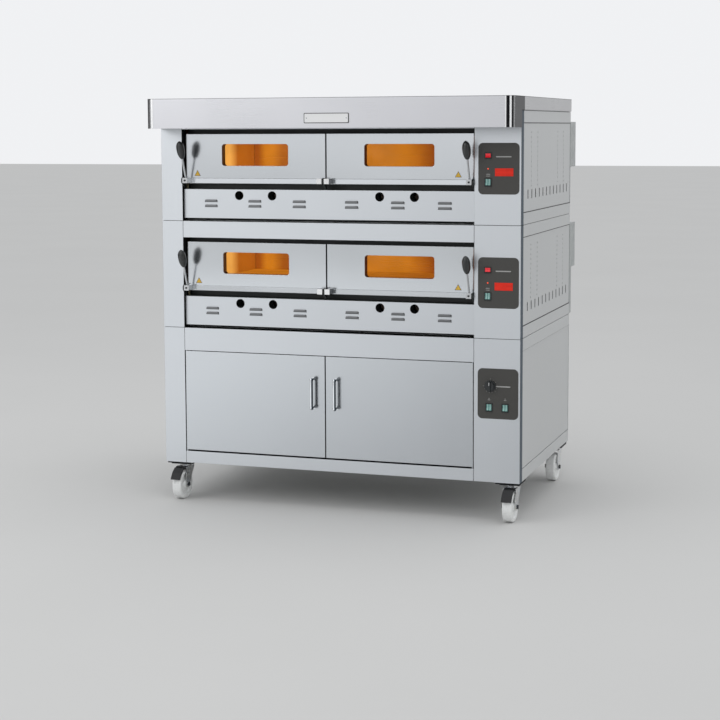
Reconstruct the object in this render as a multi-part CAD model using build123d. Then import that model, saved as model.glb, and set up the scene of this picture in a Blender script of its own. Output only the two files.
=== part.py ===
"""Two-deck gas pizza oven on a proving cabinet, with a steam hood and castors.

All sizes are in millimetres. X runs left to right, Y from the front to the back and Z up from the floor.
The centre of the whole oven's footprint is at X = 0, Y = 0.
"""
from build123d import *
import math
import os

# ---- the main body ----
BODY_W = 1550
BODY_D = 975
CABINET_H = 582
DECK_H = 452.5
SEAM = 2
SHEET = 1.5
HOOD_BOX_H = 55
HOOD_FASCIA_H = 122
HOOD_OVERHANG = 145
HOOD_SIDE = 3
HOOD_CORNER_R = 35
REAR_BOX_D = 125

# ---- the front ----
COLUMN_LEFT_W = 94
COLUMN_RIGHT_W = 189
COLUMN_D = 45
COLUMN_GAP = 1.5
DOOR_RECESS = 25
LOUVRE_RECESS = 14
SURROUND_Y = 62

# ---- heights inside one deck, from its underside ----
LOUVRE_Z = (11, 132)
SILL_Z = (132, 134)
PIN_Z = 169
DOOR_Z = (156.5, 362)
HEADER_Z = 382
STONE_TOP = 186
STONE_T = 30
CHAMBER_TOP = 352
BURNER_Z = 106.7

# ---- deck doors ----
DOOR_W = 621
DOOR_SPLIT = 6
DOOR_LIP = 22
DOOR_T = 35
WINDOW_W = 296
WINDOW_H = 91
WINDOW_R = 12
WINDOW_Z = 275
GLASS_SETBACK = 29
GLASS_T = 4
PIN_R = 5
PIN_AHEAD = 27
BLOCK = 22
BLOCK_D = 42
BLOCK_INSET = 9.5
LEVER_R = 4
KNOB_AHEAD = 51
KNOB_RISE = 128.7
KNOB_L = 78
KNOB_R = 17

# ---- castors ----
CASTOR_H = 160
WHEEL_R = 62.5
WHEEL_W = 40
AXLE_R = 6
TRAIL = 38
STEM_LEFT = 66
STEM_RIGHT = 42
STEM_FRONT = 55
STEM_REAR = 92
PAD_HALF_W = 58
FIT = 0.08

# ---- control panels ----
PLATE_W = 166
PLATE_H = 203
PLATE_R = 19
PLATE_T = 2
PLATE_X = 1460
PLATE_Z_DECK = 223
PLATE_Z_CABINET = 360
ROCKER_TILT = 8
ROCKER_AXIS_Y = 1

# ---- places worked out from the sizes above ----
DEPTH = HOOD_OVERHANG + BODY_D + REAR_BOX_D
LEFT_X = -BODY_W / 2
FRONT_Y = HOOD_OVERHANG - DEPTH / 2
OPEN_L = COLUMN_LEFT_W
OPEN_R = BODY_W - COLUMN_RIGHT_W
OPEN_MID = (OPEN_L + OPEN_R) / 2
DECKS = {"lower": CABINET_H, "upper": CABINET_H + DECK_H}
HOOD_Z = CABINET_H + 2 * DECK_H
PIN_Y = DOOR_RECESS - PIN_AHEAD
INNER_L = OPEN_L + COLUMN_GAP
INNER_R = OPEN_R - COLUMN_GAP
BACK_Y = BODY_D - SHEET
RAIL_H = 48
RAIL_D = 20
CHAMBER_L = 112
CHAMBER_R = 1343
CHAMBER_BACK = 764
MANIFOLD_Y = CHAMBER_BACK - 16
MULLION_W = 56
LINER_Z = (50, 500)
LINER_BACK = 930
GAS_THREAD_R = 13.22
GAS_THREAD_L = 30


# ---- helpers; x, y, z are from the body's left side, front face and underside ----
def place(x, y, z):
    return Pos(LEFT_X + x, FRONT_Y + y, CASTOR_H + z)


def block(x, y, z):
    """A box between two limits on each axis."""
    middle = place((x[0] + x[1]) / 2, (y[0] + y[1]) / 2, (z[0] + z[1]) / 2)
    return middle * Box(x[1] - x[0], y[1] - y[0], z[1] - z[0])


def tube(x, y, z, along, wall=SHEET):
    """A rectangular box section, open at both ends along one axis."""
    inner = {"x": x, "y": y, "z": z}
    for axis, limits in inner.items():
        grow = wall if axis == along else -wall
        inner[axis] = (limits[0] - grow, limits[1] + grow)
    return block(x, y, z) - block(inner["x"], inner["y"], inner["z"])


def hollow_box(x, y, z, wall=SHEET):
    """A closed box of thin sheet."""
    inner = [(limits[0] + wall, limits[1] - wall) for limits in (x, y, z)]
    return block(x, y, z) - block(*inner)


def rod(x, y, z, axis, radius, length):
    """A round bar centred on a point."""
    turn = {"x": Rot(0, 90, 0), "y": Rot(90, 0, 0), "z": Rot(0, 0, 0)}[axis]
    return place(x, y, z) * turn * Cylinder(radius, length)


def front_slab(x, z, y, width, height, radius):
    """A slab facing the front with rounded corners, between two depths."""
    outline = extrude(RectangleRounded(width, height, radius), amount=(y[1] - y[0]) / 2, both=True)
    return place(x, (y[0] + y[1]) / 2, z) * Rot(90, 0, 0) * outline


def side_profile(points, x):
    """A shape drawn in (y, z) and extruded between two x limits."""
    outline = make_face(Polyline(*points, close=True))
    solid = extrude(Plane.YZ * outline, amount=x[1] - x[0])
    return place(x[0], 0, 0) * solid


def save(name, *pieces):
    solids = []
    for piece in pieces:
        solids.extend(piece.solids())
    export_step(Compound(label=name, children=solids), f"parts/{name}.step")


# ---- castors ----
def castor_places():
    left = STEM_LEFT
    right = BODY_W - STEM_RIGHT
    rear = BODY_D - STEM_REAR
    return {
        "front_left": (left, STEM_FRONT),
        "front_right": (right, STEM_FRONT),
        "rear_left": (left, rear),
        "rear_right": (right, rear),
    }


def castor_plate(x, y):
    """Top plate with four bolt holes, and the fixed half of the swivel race."""
    plate = block((x - 42, x + 42), (y - 52, y + 52), (-10, -6))
    race = rod(x, y, -13, "z", 27, 6)
    holes = [rod(x, y, -10, "z", AXLE_R + FIT, 14)]
    for dx in (-30, 30):
        for dy in (-40, 40):
            holes.append(rod(x + dx, y + dy, -8, "z", 4.5, 6))
    return (plate + race) - holes


def castor_fork(x, y):
    """Crown, lower race, kingpin, two legs and the wheel axle."""
    crown = block((x - 27, x + 27), (y - 27, y + 27), (-27, -23))
    race = rod(x, y, -19.9, "z", 25, 6.2)
    kingpin = rod(x, y, -15.5, "z", AXLE_R, 17)
    axle_z = WHEEL_R - CASTOR_H
    axle_y = y - TRAIL
    leg_outline = [
        (y + 27, -23),
        (y + 27, -30),
        (axle_y + 15, axle_z - 8),
        (axle_y + 7, axle_z - 14),
        (axle_y - 7, axle_z - 14),
        (axle_y - 15, axle_z - 8),
        (axle_y - 16, axle_z + 30),
        (axle_y - 13, -23),
    ]
    legs = side_profile(leg_outline, (x - 27, x - 24)) + side_profile(leg_outline, (x + 24, x + 27))
    axle = rod(x, axle_y, axle_z, "x", AXLE_R, 60)
    nuts = rod(x - 31, axle_y, axle_z, "x", 9, 7) + rod(x + 31, axle_y, axle_z, "x", 9, 7)
    return crown + race + kingpin + legs + axle + nuts


def castor_wheel(x, y):
    """Solid nylon wheel with a dished side and a hub."""
    half = WHEEL_W / 2
    profile = Polyline(
        (AXLE_R + FIT, half + 2),
        (17, half + 2),
        (20, half - 7),
        (44, half - 7),
        (48, half),
        (WHEEL_R - 4, half),
        (WHEEL_R, half - 5),
        (WHEEL_R, -half + 5),
        (WHEEL_R - 4, -half),
        (48, -half),
        (44, -half + 7),
        (20, -half + 7),
        (17, -half - 2),
        (AXLE_R + FIT, -half - 2),
        close=True,
    )
    wheel = revolve(Plane.XZ * make_face(profile), Axis.Z)
    return place(x, y - TRAIL, WHEEL_R - CASTOR_H) * Rot(0, 90, 0) * wheel


def brake_pedal(x, y):
    """Curved foot pedal that swings down onto the wheel's tread."""
    inner = WHEEL_R + 12
    outer = inner + 5
    arc = [(inner, 24), (inner, 46), (inner, 67), (outer, 67), (outer, 46), (outer, 24)]
    centre_y = y - TRAIL
    centre_z = WHEEL_R - CASTOR_H
    points = []
    for radius, lean in arc:
        angle = math.radians(lean)
        points.append((centre_y - radius * math.sin(angle), centre_z + radius * math.cos(angle)))
    points.append((centre_y - 7, -23.5))
    points.append((centre_y + 4, -23.5))
    points.append((centre_y + 4, -30.5))
    points.append((centre_y - 8, -31.5))
    pedal = side_profile(points, (x - 21.5, x + 21.5))
    pivot_hole = rod(x, centre_y, -27, "x", 2.5 + FIT, 60)
    return pedal - pivot_hole


def pedal_pin(x, y):
    return rod(x, y - TRAIL, -27, "x", 2.5, 56)


# ---- cabinet ----
def right_column(z, cut_z):
    """The wide column, with a cut-out behind its control panel."""
    column = tube((OPEN_R, BODY_W), (0, COLUMN_D), z, "z")
    return column - block((PLATE_X - 66, PLATE_X + 66), (-5, COLUMN_D - 3), (cut_z - 84, cut_z + 84))


def side_rails(low_z, high_z, height):
    """Two rails on each side of the body between the front column and the back sheet."""
    rails = []
    for x in ((0, RAIL_D), (BODY_W - RAIL_D, BODY_W)):
        for z in ((low_z, low_z + height), (high_z - height, high_z)):
            rails.append(tube(x, (COLUMN_D + COLUMN_GAP, BACK_Y), z, "y"))
    return rails


def lid_sheet(top):
    """The recessed sheet that closes a module and leaves a seam all round."""
    return block((4, BODY_W - 4), (4, BODY_D - 4), (top - SEAM, top))


def door_hinge_places():
    return {"left": INNER_L + 4.5, "right": INNER_R - 4.5}


def cabinet_frame():
    top = CABINET_H - SEAM
    hinge_holes = []
    for x in door_hinge_places().values():
        hinge_holes.append(rod(x, 4, CABINET_H / 2, "z", 3 + FIT, CABINET_H))
    low_rail = tube((INNER_L, INNER_R), (0, 30), (0, 50), "x")
    high_rail = tube((INNER_L, INNER_R), (0, 30), (484, top), "x")
    pieces = [
        tube((0, COLUMN_LEFT_W), (0, COLUMN_D), (0, top), "z"),
        right_column((0, top), PLATE_Z_CABINET),
        low_rail - hinge_holes,
        high_rail - hinge_holes,
        lid_sheet(CABINET_H),
    ]
    pieces += side_rails(0, top, 50)
    for x, y in castor_places().values():
        pieces.append(block((x - PAD_HALF_W, min(x + PAD_HALF_W, BODY_W)), (y - 55, y + 55), (-6, 0)))
    return pieces


def cabinet_panels():
    """Both side sheets, the back sheet and the underside."""
    top = CABINET_H - SEAM
    side_y = (COLUMN_D + COLUMN_GAP, BACK_Y)
    return [
        block((2, 2 + SHEET), side_y, (50, top - 50)),
        block((BODY_W - 2 - SHEET, BODY_W - 2), side_y, (50, top - 50)),
        block((0, BODY_W), (BACK_Y, BODY_D), (0, top)),
        block((RAIL_D, BODY_W - RAIL_D), side_y, (0, SHEET)),
    ]


def cabinet_liner():
    """The proving chamber's inner sheets and its middle divider."""
    low, high = LINER_Z
    back = LINER_BACK
    front = COLUMN_D + COLUMN_GAP
    return [
        block((OPEN_L + 4, OPEN_R - 4), (front, back), (low - SHEET, low)),
        block((OPEN_L + 4, OPEN_R - 4), (front, back), (high, high + SHEET)),
        block((OPEN_L + 2.5, OPEN_L + 4), (front, back), (low - SHEET, high + SHEET)),
        block((OPEN_R - 4, OPEN_R - 2.5), (front, back), (low - SHEET, high + SHEET)),
        block((OPEN_L + 2.5, OPEN_R - 2.5), (back, back + SHEET), (low - SHEET, high + SHEET)),
        block((OPEN_MID - 1, OPEN_MID + 1), (front + 20, back), (low, high)),
    ]


def tray_runners():
    """Four pairs of flat runners on each side of the divider."""
    runner_y = (COLUMN_D + COLUMN_GAP + 25, LINER_BACK - 20)
    pieces = []
    for level in range(4):
        z = (150 + 85 * level, 153 + 85 * level)
        pieces.append(block((OPEN_L + 4, OPEN_L + 26), runner_y, z))
        pieces.append(block((OPEN_MID - 23, OPEN_MID - 1), runner_y, z))
        pieces.append(block((OPEN_MID + 1, OPEN_MID + 23), runner_y, z))
        pieces.append(block((OPEN_R - 26, OPEN_R - 4), runner_y, z))
    return pieces


def proving_heater():
    """A water pan on the chamber floor, and a straight element on each side of it."""
    pan_x = (OPEN_MID + 120, OPEN_MID + 420)
    pan = block(pan_x, (300, 700), (50, 85))
    pan -= block((pan_x[0] + SHEET, pan_x[1] - SHEET), (300 + SHEET, 700 - SHEET), (50 + SHEET, 90))
    pieces = [pan]
    for x in (pan_x[0] - 20, pan_x[1] + 20):
        pieces.append(rod(x, 500, 65, "y", 5, 420))
        pieces.append(block((x - 8, x + 8), (690, 693), (50, 60)))
        pieces.append(block((x - 8, x + 8), (310, 313), (50, 60)))
    return pieces


def cabinet_door(side):
    """A flush box door with a pivot pin at the top and the bottom of its outer edge."""
    if side == "left":
        x = (INNER_L + 0.5, OPEN_MID - 2.5)
    else:
        x = (OPEN_MID + 2.5, INNER_R - 0.5)
    z = (57, 481)
    shell = hollow_box(x, (0, 20), z)
    pin_x = door_hinge_places()[side]
    corner = pin_x - 4 if side == "left" else pin_x + 4
    square = block(tuple(sorted((corner, pin_x))), (0, 4), z)
    quarter = square & rod(pin_x, 4, sum(z) / 2, "z", 4, z[1] - z[0])
    shell = (shell - square) + quarter
    for pin_z in ((48.5, 58.5), (479.5, 485.5)):
        shell += rod(pin_x, 4, sum(pin_z) / 2, "z", 3, pin_z[1] - pin_z[0])
    return shell


def cabinet_handle(side):
    """A bow handle: bar, ball ends, posts and feet."""
    x = OPEN_MID - 50 if side == "left" else OPEN_MID + 50
    bar_y = -30
    ends = (268, 386)
    handle = rod(x, bar_y, sum(ends) / 2, "z", 6, ends[1] - ends[0])
    for z in ends:
        handle += place(x, bar_y, z) * Sphere(8)
        handle += rod(x, bar_y / 2, z, "y", 4.5, -bar_y)
        handle += rod(x, -1.5, z, "y", 8, 3)
    return handle


# ---- decks ----
def deck_front(base):
    """Front columns and the header above the doors."""
    top = base + DECK_H - SEAM
    return [
        tube((0, COLUMN_LEFT_W), (0, COLUMN_D), (base, top), "z"),
        right_column((base, top), base + PLATE_Z_DECK),
        tube((INNER_L, INNER_R), (0, 30), (base + HEADER_Z, top), "x"),
    ]


def sight_hole_places():
    return [OPEN_MID + offset for offset in (-381, -234, 234, 381)]


def louvre_panel(base):
    """Lower front panel with four burner sight holes and six pairs of slots."""
    y = (LOUVRE_RECESS, LOUVRE_RECESS + SHEET)
    panel = block((INNER_L, INNER_R), y, (base + LOUVRE_Z[0], base + LOUVRE_Z[1]))
    cuts = []
    for x in sight_hole_places():
        cuts.append(rod(x, LOUVRE_RECESS, base + BURNER_Z, "y", 19, 10))
    for offset in (-508, -311, -114, 114, 311, 508):
        for z in (63, 84):
            cuts.append(front_slab(OPEN_MID + offset, base + z, (y[0] - 4, y[1] + 4), 57, 9, 4))
    return panel - cuts


def side_panel(base, side):
    """Side sheet with four columns of round holes and a row of upright slots below them."""
    y = (COLUMN_D + COLUMN_GAP, BACK_Y)
    z = (base + RAIL_H, base + DECK_H - SEAM - RAIL_H)
    x = (2, 2 + SHEET) if side == "left" else (BODY_W - 2 - SHEET, BODY_W - 2)
    cuts = []
    for hole_y in (190, 308, 706, 828):
        for row in range(12):
            cuts.append(rod(x[0], hole_y, base + 150 + 19.5 * row, "x", 4, 8))
    for slot in range(12):
        slot_y = 132 + 70 * slot
        cuts.append(block((x[0] - 3, x[1] + 3), (slot_y - 7, slot_y + 7), (base + 100, base + 136)))
    return block(x, y, z) - cuts


def deck_casing(base):
    """Bottom sheet, lid and back sheet, with the hole for the gas pipe."""
    top = base + DECK_H - SEAM
    back = block((0, BODY_W), (BACK_Y, BODY_D), (base, top))
    return [
        block((RAIL_D, BODY_W - RAIL_D), (COLUMN_D + COLUMN_GAP, BACK_Y), (base, base + SHEET)),
        lid_sheet(base + DECK_H),
        back - rod(1440, BODY_D, base + BURNER_Z, "y", 14.5, 10),
    ]


def door_surround(base):
    """Black enamelled frame and mullion at the chamber mouth, and the sill under the doors."""
    y = (SURROUND_Y, SURROUND_Y + 2)
    low = block((INNER_L, INNER_R), y, (base + 4, base + STONE_TOP))
    for x in sight_hole_places():
        low -= rod(x, SURROUND_Y, base + BURNER_Z, "y", 19, 10)
    return [
        low,
        block((INNER_L, INNER_R), y, (base + CHAMBER_TOP, base + DECK_H - SEAM)),
        block((INNER_L, CHAMBER_L), y, (base + STONE_TOP, base + CHAMBER_TOP)),
        block((CHAMBER_R, INNER_R), y, (base + STONE_TOP, base + CHAMBER_TOP)),
        block((INNER_L, INNER_R), (LOUVRE_RECESS, SURROUND_Y), (base + SILL_Z[0], base + SILL_Z[1])),
        block((OPEN_MID - MULLION_W / 2, OPEN_MID + MULLION_W / 2), y, (base + STONE_TOP, base + CHAMBER_TOP)),
    ]


def chamber_liner(base):
    """Sheets round one baking chamber, and the ledges under its stones."""
    low = base + 60
    high = base + CHAMBER_TOP + 2
    front = SURROUND_Y + 2
    back = CHAMBER_BACK
    left = block((CHAMBER_L - 2, CHAMBER_L), (front, back + 2), (low, high))
    left -= rod(CHAMBER_L - 2, 230, base + 300, "x", 24.5, 10)
    right = block((CHAMBER_R, CHAMBER_R + 2), (front, back + 2), (low, high))
    right -= rod(CHAMBER_R, MANIFOLD_Y, base + BURNER_Z, "x", 14.5, 10)
    inside = (CHAMBER_L, CHAMBER_R)
    ledge_z = (base + STONE_TOP - STONE_T - 6, base + STONE_TOP - STONE_T)
    return [
        left,
        right,
        block(inside, (back, back + 2), (low, high)),
        block(inside, (front, back), (base + CHAMBER_TOP, high)),
        block(inside, (front, back), (low, low + 2)),
        block((CHAMBER_L, CHAMBER_L + 20), (front, back), ledge_z),
        block((CHAMBER_R - 20, CHAMBER_R), (front, back), ledge_z),
        block((OPEN_MID - 10, OPEN_MID + 10), (front, back), ledge_z),
    ]


def hearth_stones(base):
    z = (base + STONE_TOP - STONE_T, base + STONE_TOP)
    y = (SURROUND_Y + 4, CHAMBER_BACK - 2)
    return [
        block((CHAMBER_L + 1, OPEN_MID - 1), y, z),
        block((OPEN_MID + 1, CHAMBER_R - 1), y, z),
    ]


def insulation(base):
    """Mineral wool left, right, behind and above the chamber."""
    low = base + 62
    z = (low, base + CHAMBER_TOP)
    left = block((24, CHAMBER_L - 4), (66, CHAMBER_BACK), z) - rod(90, 230, base + 300, "x", 34, 60)
    right = block((CHAMBER_R + 4, 1420), (66, CHAMBER_BACK), z)
    right -= rod(CHAMBER_R, MANIFOLD_Y, base + BURNER_Z, "x", 15, 300)
    back = block((CHAMBER_L, CHAMBER_R), (CHAMBER_BACK + 4, 970), z)
    top = block((CHAMBER_L, CHAMBER_R), (66, 970), (base + CHAMBER_TOP + 4, base + DECK_H - 8))
    return [left, right, back, top]


def gas_pipes(z, wall, end_y):
    """Burner tubes, manifold and outlet as solid bars, each smaller by the wall."""
    manifold = rod((300 + 1440) / 2, MANIFOLD_Y, z, "x", 12 - wall, 1440 - 300 - 2 * wall)
    outlet = rod(1440, (MANIFOLD_Y + end_y) / 2, z, "y", 12 - wall, end_y - MANIFOLD_Y)
    pipes = manifold + outlet + place(1440, MANIFOLD_Y, z) * Sphere(12 - wall)
    for x in sight_hole_places():
        pipes += rod(x, (74 + wall + MANIFOLD_Y) / 2, z, "y", 14 - wall, MANIFOLD_Y - 74 - wall)
    return pipes


def gas_train(base):
    """Four burner tubes on a manifold that ends in a threaded inlet at the back."""
    z = base + BURNER_Z
    thread = rod(1440, BODY_D + GAS_THREAD_L / 2, z, "y", GAS_THREAD_R, GAS_THREAD_L)
    outside = gas_pipes(z, 0, BODY_D) + thread
    return outside - gas_pipes(z, 2, BODY_D + GAS_THREAD_L + 5)


def chamber_lamp(base):
    """Oven lamp in the left wall: a lens flush with the chamber and a body in the insulation."""
    z = base + 300
    lens = rod(CHAMBER_L - 2, 230, z, "x", 24, 4)
    body = rod(CHAMBER_L - 22, 230, z, "x", 30, 36)
    return lens + body


def bearing_places():
    return (OPEN_L + 4, OPEN_MID, OPEN_R - 4)


def door_bearings(base):
    """Brackets on the sill that carry the door pins."""
    z = base + SILL_Z[1]
    pin = base + PIN_Z
    pieces = []
    for x in bearing_places():
        half = 4.3 if x == OPEN_MID else 2.5
        outline = [
            (22, z),
            (22, pin + 4),
            (PIN_Y + 9, pin + 13),
            (PIN_Y - 5, pin + 13),
            (PIN_Y - 12, pin + 6),
            (PIN_Y - 12, pin - 8),
            (LOUVRE_RECESS + 1, z),
        ]
        bracket = side_profile(outline, (x - half, x + half))
        pieces.append(bracket - rod(x, PIN_Y, pin, "x", PIN_R + FIT, 20))
    return pieces


# ---- deck doors ----
def door_span(side):
    """Left and right edge of a deck door."""
    if side == "left":
        edge = OPEN_MID - DOOR_SPLIT / 2
        return (edge - DOOR_W, edge)
    edge = OPEN_MID + DOOR_SPLIT / 2
    return (edge, edge + DOOR_W)


def outer_block_x(side):
    """Centre of the pivot block that also holds the lever."""
    offset = DOOR_W + DOOR_SPLIT / 2 - BLOCK_INSET
    return OPEN_MID - offset if side == "left" else OPEN_MID + offset


def inner_block_x(side):
    return OPEN_MID - 16 if side == "left" else OPEN_MID + 16


def door_panel(base, side):
    """Face sheet with a lower lip, the closed insulated box behind it and the window tunnel."""
    x = door_span(side)
    middle = sum(x) / 2
    face_y = (DOOR_RECESS, DOOR_RECESS + 2)
    back = DOOR_RECESS + DOOR_T
    box_x = (x[0] + 13, x[1] - 13)
    box_z = (base + DOOR_Z[0] + DOOR_LIP, base + DOOR_Z[1] - 8)
    panel = block(x, face_y, (base + DOOR_Z[0], base + DOOR_Z[1]))
    panel += hollow_box(box_x, (face_y[1] - SHEET, back), box_z)
    z = base + WINDOW_Z
    rim = 2 * SHEET
    y = (DOOR_RECESS, back)
    panel += front_slab(middle, z, y, WINDOW_W + rim, WINDOW_H + rim, WINDOW_R + SHEET)
    panel -= front_slab(middle, z, (y[0] - 5, y[1] + 5), WINDOW_W, WINDOW_H, WINDOW_R)
    inner = inner_block_x(side)
    stub = OPEN_MID - 2.7 if side == "left" else OPEN_MID + 2.7
    bearing_block = pivot_block(inner, base)
    stub_pin = rod((inner + stub) / 2, PIN_Y, base + PIN_Z, "x", PIN_R, abs(inner - stub))
    return [panel, bearing_block + stub_pin]


def pivot_block(x, base):
    half = BLOCK / 2
    y = (DOOR_RECESS - BLOCK_D, DOOR_RECESS)
    z = base + PIN_Z
    return block((x - half, x + half), y, (z - half, z + half))


def door_window(base, side):
    middle = sum(door_span(side)) / 2
    y = (DOOR_RECESS + GLASS_SETBACK, DOOR_RECESS + GLASS_SETBACK + GLASS_T)
    return front_slab(middle, base + WINDOW_Z, y, WINDOW_W, WINDOW_H, WINDOW_R)


def lever_frame(base, side):
    """Frame with its Z axis along the lever, starting at the hinge pin."""
    lean = math.degrees(math.atan2(KNOB_AHEAD, KNOB_RISE))
    return place(outer_block_x(side), PIN_Y, base + PIN_Z) * Rot(lean, 0, 0)


def door_lever(base, side):
    """Outer pivot block with its hinge pin and the slanted rod."""
    x = outer_block_x(side)
    pin_end = OPEN_L + COLUMN_GAP if side == "left" else OPEN_R - COLUMN_GAP
    pin = rod((x + pin_end) / 2, PIN_Y, base + PIN_Z, "x", PIN_R, abs(x - pin_end))
    bar = lever_frame(base, side) * Pos(0, 0, 65) * Cylinder(LEVER_R, 120)
    return pivot_block(x, base) + pin + bar


def door_knob(base, side):
    """Long oval grip on the end of the lever."""
    reach = math.hypot(KNOB_AHEAD, KNOB_RISE)
    half = KNOB_L / 2
    edge = Spline((7, -half), (KNOB_R - 3, -half * 0.62), (KNOB_R, 0), (KNOB_R - 4, half * 0.66), (0, half))
    outline = make_face(edge + Line((0, half), (0, -half)) + Line((0, -half), (7, -half)))
    grip = revolve(Plane.XZ * outline, Axis.Z)
    grip -= Pos(0, 0, 65 - reach) * Cylinder(LEVER_R + 0.02, 120.04)
    return lever_frame(base, side) * Pos(0, 0, reach) * grip


# ---- controls ----
def switch_list():
    """Name, panel centre height, x and z from the panel's centre, and the size of each rocker switch."""
    tall = (28, 34)
    short = (28, 25)
    lower = DECKS["lower"] + PLATE_Z_DECK
    upper = DECKS["upper"] + PLATE_Z_DECK
    return {
        "upper_power_switch": (upper, -43, 51, short),
        "upper_lamp_switch": (upper, -43, -54, tall),
        "lower_power_switch": (lower, -43, 51, short),
        "lower_lamp_switch": (lower, -43, -54, tall),
        "cabinet_heat_switch": (PLATE_Z_CABINET, -36, -56, tall),
        "cabinet_steam_switch": (PLATE_Z_CABINET, 30, -56, tall),
    }


def display_places():
    return [(PLATE_X + 22, DECKS[deck] + PLATE_Z_DECK - 14) for deck in DECKS]


def thermostat_place():
    return PLATE_X - 31, PLATE_Z_CABINET + 31


def control_plates():
    """Three panels with openings for the switches, displays and thermostat shaft."""
    plates = []
    for z in (PLATE_Z_CABINET, DECKS["lower"] + PLATE_Z_DECK, DECKS["upper"] + PLATE_Z_DECK):
        plate = front_slab(PLATE_X, z, (-PLATE_T, 0), PLATE_W, PLATE_H, PLATE_R)
        for centre, dx, dz, size in switch_list().values():
            if centre == z:
                hole_x = PLATE_X + dx
                plate -= block(
                    (hole_x - size[0] / 2 + 2, hole_x + size[0] / 2 - 2),
                    (-8, 8),
                    (z + dz - size[1] / 2 + 2, z + dz + size[1] / 2 - 2),
                )
        for x, display_z in display_places():
            if abs(display_z - z) < 50:
                plate -= block((x - 35, x + 35), (-8, 8), (display_z - 13.5, display_z + 13.5))
        plates.append(plate)
    knob_x, knob_z = thermostat_place()
    plates[0] -= rod(knob_x, 0, knob_z, "y", 4 + FIT, 20)
    return plates


def switch_bezels():
    """Frame and body tunnel of each rocker switch."""
    bezels = []
    for z, dx, dz, size in switch_list().values():
        x = PLATE_X + dx
        half_w = size[0] / 2
        half_h = size[1] / 2
        centre = z + dz
        rim = block((x - half_w, x + half_w), (-5, -PLATE_T), (centre - half_h, centre + half_h))
        half_w -= 2
        half_h -= 2
        rim += block((x - half_w, x + half_w), (-5, 14), (centre - half_h, centre + half_h))
        half_w -= 1
        half_h -= 1
        rim -= block((x - half_w, x + half_w), (-8, 12), (centre - half_h, centre + half_h))
        bezels.append(rim)
    return bezels


def rocker(name):
    """A rocker key, resting with its upper end pressed in."""
    z, dx, dz, size = switch_list()[name]
    half_w = size[0] / 2 - 3.4
    half_h = size[1] / 2 - 4.6
    outline = make_face(
        Polyline(
            (-6.5, half_h),
            (-4, 0),
            (-6.5, -half_h),
            (4.5, -half_h + 2),
            (6, 0),
            (4.5, half_h - 2),
            close=True,
        )
    )
    key = extrude(Plane.YZ * outline, amount=half_w, both=True)
    return place(PLATE_X + dx, ROCKER_AXIS_Y, z + dz) * Rot(-ROCKER_TILT, 0, 0) * key


def display_modules():
    """Red window with a narrow rim, and the electronics box behind it."""
    modules = []
    for x, z in display_places():
        window = block((x - 37, x + 37), (-3.2, -PLATE_T), (z - 15.5, z + 15.5))
        modules.append(window + block((x - 34.5, x + 34.5), (-PLATE_T, 34), (z - 13, z + 13)))
    return modules


def thermostat_knob():
    """Round knob with a finger ridge, and its shaft."""
    x, z = thermostat_place()
    knob = rod(x, -5.5, z, "y", 23, 6) + rod(x, -14, z, "y", 18, 12)
    knob += block((x - 4.5, x + 4.5), (-26, -8), (z - 20, z + 20))
    return knob + rod(x, 4, z, "y", 4, 14)


# ---- rear boxes and hood ----
def rear_boxes():
    """Valve cover behind each deck, and the shallow channel under the lower one."""
    x = (1188, BODY_W - 2)
    boxes = []
    for base in DECKS.values():
        boxes.append(hollow_box(x, (BODY_D, BODY_D + REAR_BOX_D), (base + 208, base + 408)))
    base = DECKS["lower"]
    boxes.append(hollow_box((1488, BODY_W - 2), (BODY_D, BODY_D + 45), (base, base + 208)))
    return boxes


def hood():
    """Top sheet, fascia with rounded corners, side skirts, back, floor and the canopy's rear sheet."""
    top = HOOD_Z + HOOD_BOX_H
    fascia_low = top - HOOD_FASCIA_H
    under_top = top - SHEET
    left = -HOOD_SIDE
    right = BODY_W + HOOD_SIDE
    front = -HOOD_OVERHANG
    corner = HOOD_CORNER_R
    depth = BODY_D + HOOD_OVERHANG
    outline = Rectangle(right - left, depth)
    front_corners = outline.vertices().group_by(Axis.Y)[0]
    lid = extrude(fillet(front_corners, corner), amount=SHEET)
    pieces = [place(BODY_W / 2, (BODY_D - HOOD_OVERHANG) / 2, under_top) * lid]
    pieces.append(block((left + corner, right - corner), (front, front + SHEET), (fascia_low, under_top)))
    for x, clip in ((left + corner, (left, left + corner)), (right - corner, (right - corner, right))):
        ring = place(x, front + corner, (fascia_low + under_top) / 2) * (
            Cylinder(corner, under_top - fascia_low) - Cylinder(corner - SHEET, under_top - fascia_low)
        )
        pieces.append(ring & block(clip, (front, front + corner), (fascia_low, under_top)))
    for x in ((left, left + SHEET), (right - SHEET, right)):
        pieces.append(block(x, (front + corner, -1), (fascia_low, under_top)))
        pieces.append(block(x, (-1, BODY_D), (HOOD_Z + SEAM, under_top)))
    inside = (left + SHEET, right - SHEET)
    pieces.append(block(inside, (BODY_D - SHEET, BODY_D), (HOOD_Z + SEAM, under_top)))
    pieces.append(block(inside, (4, BODY_D - SHEET), (HOOD_Z, HOOD_Z + SEAM)))
    return pieces


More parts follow.
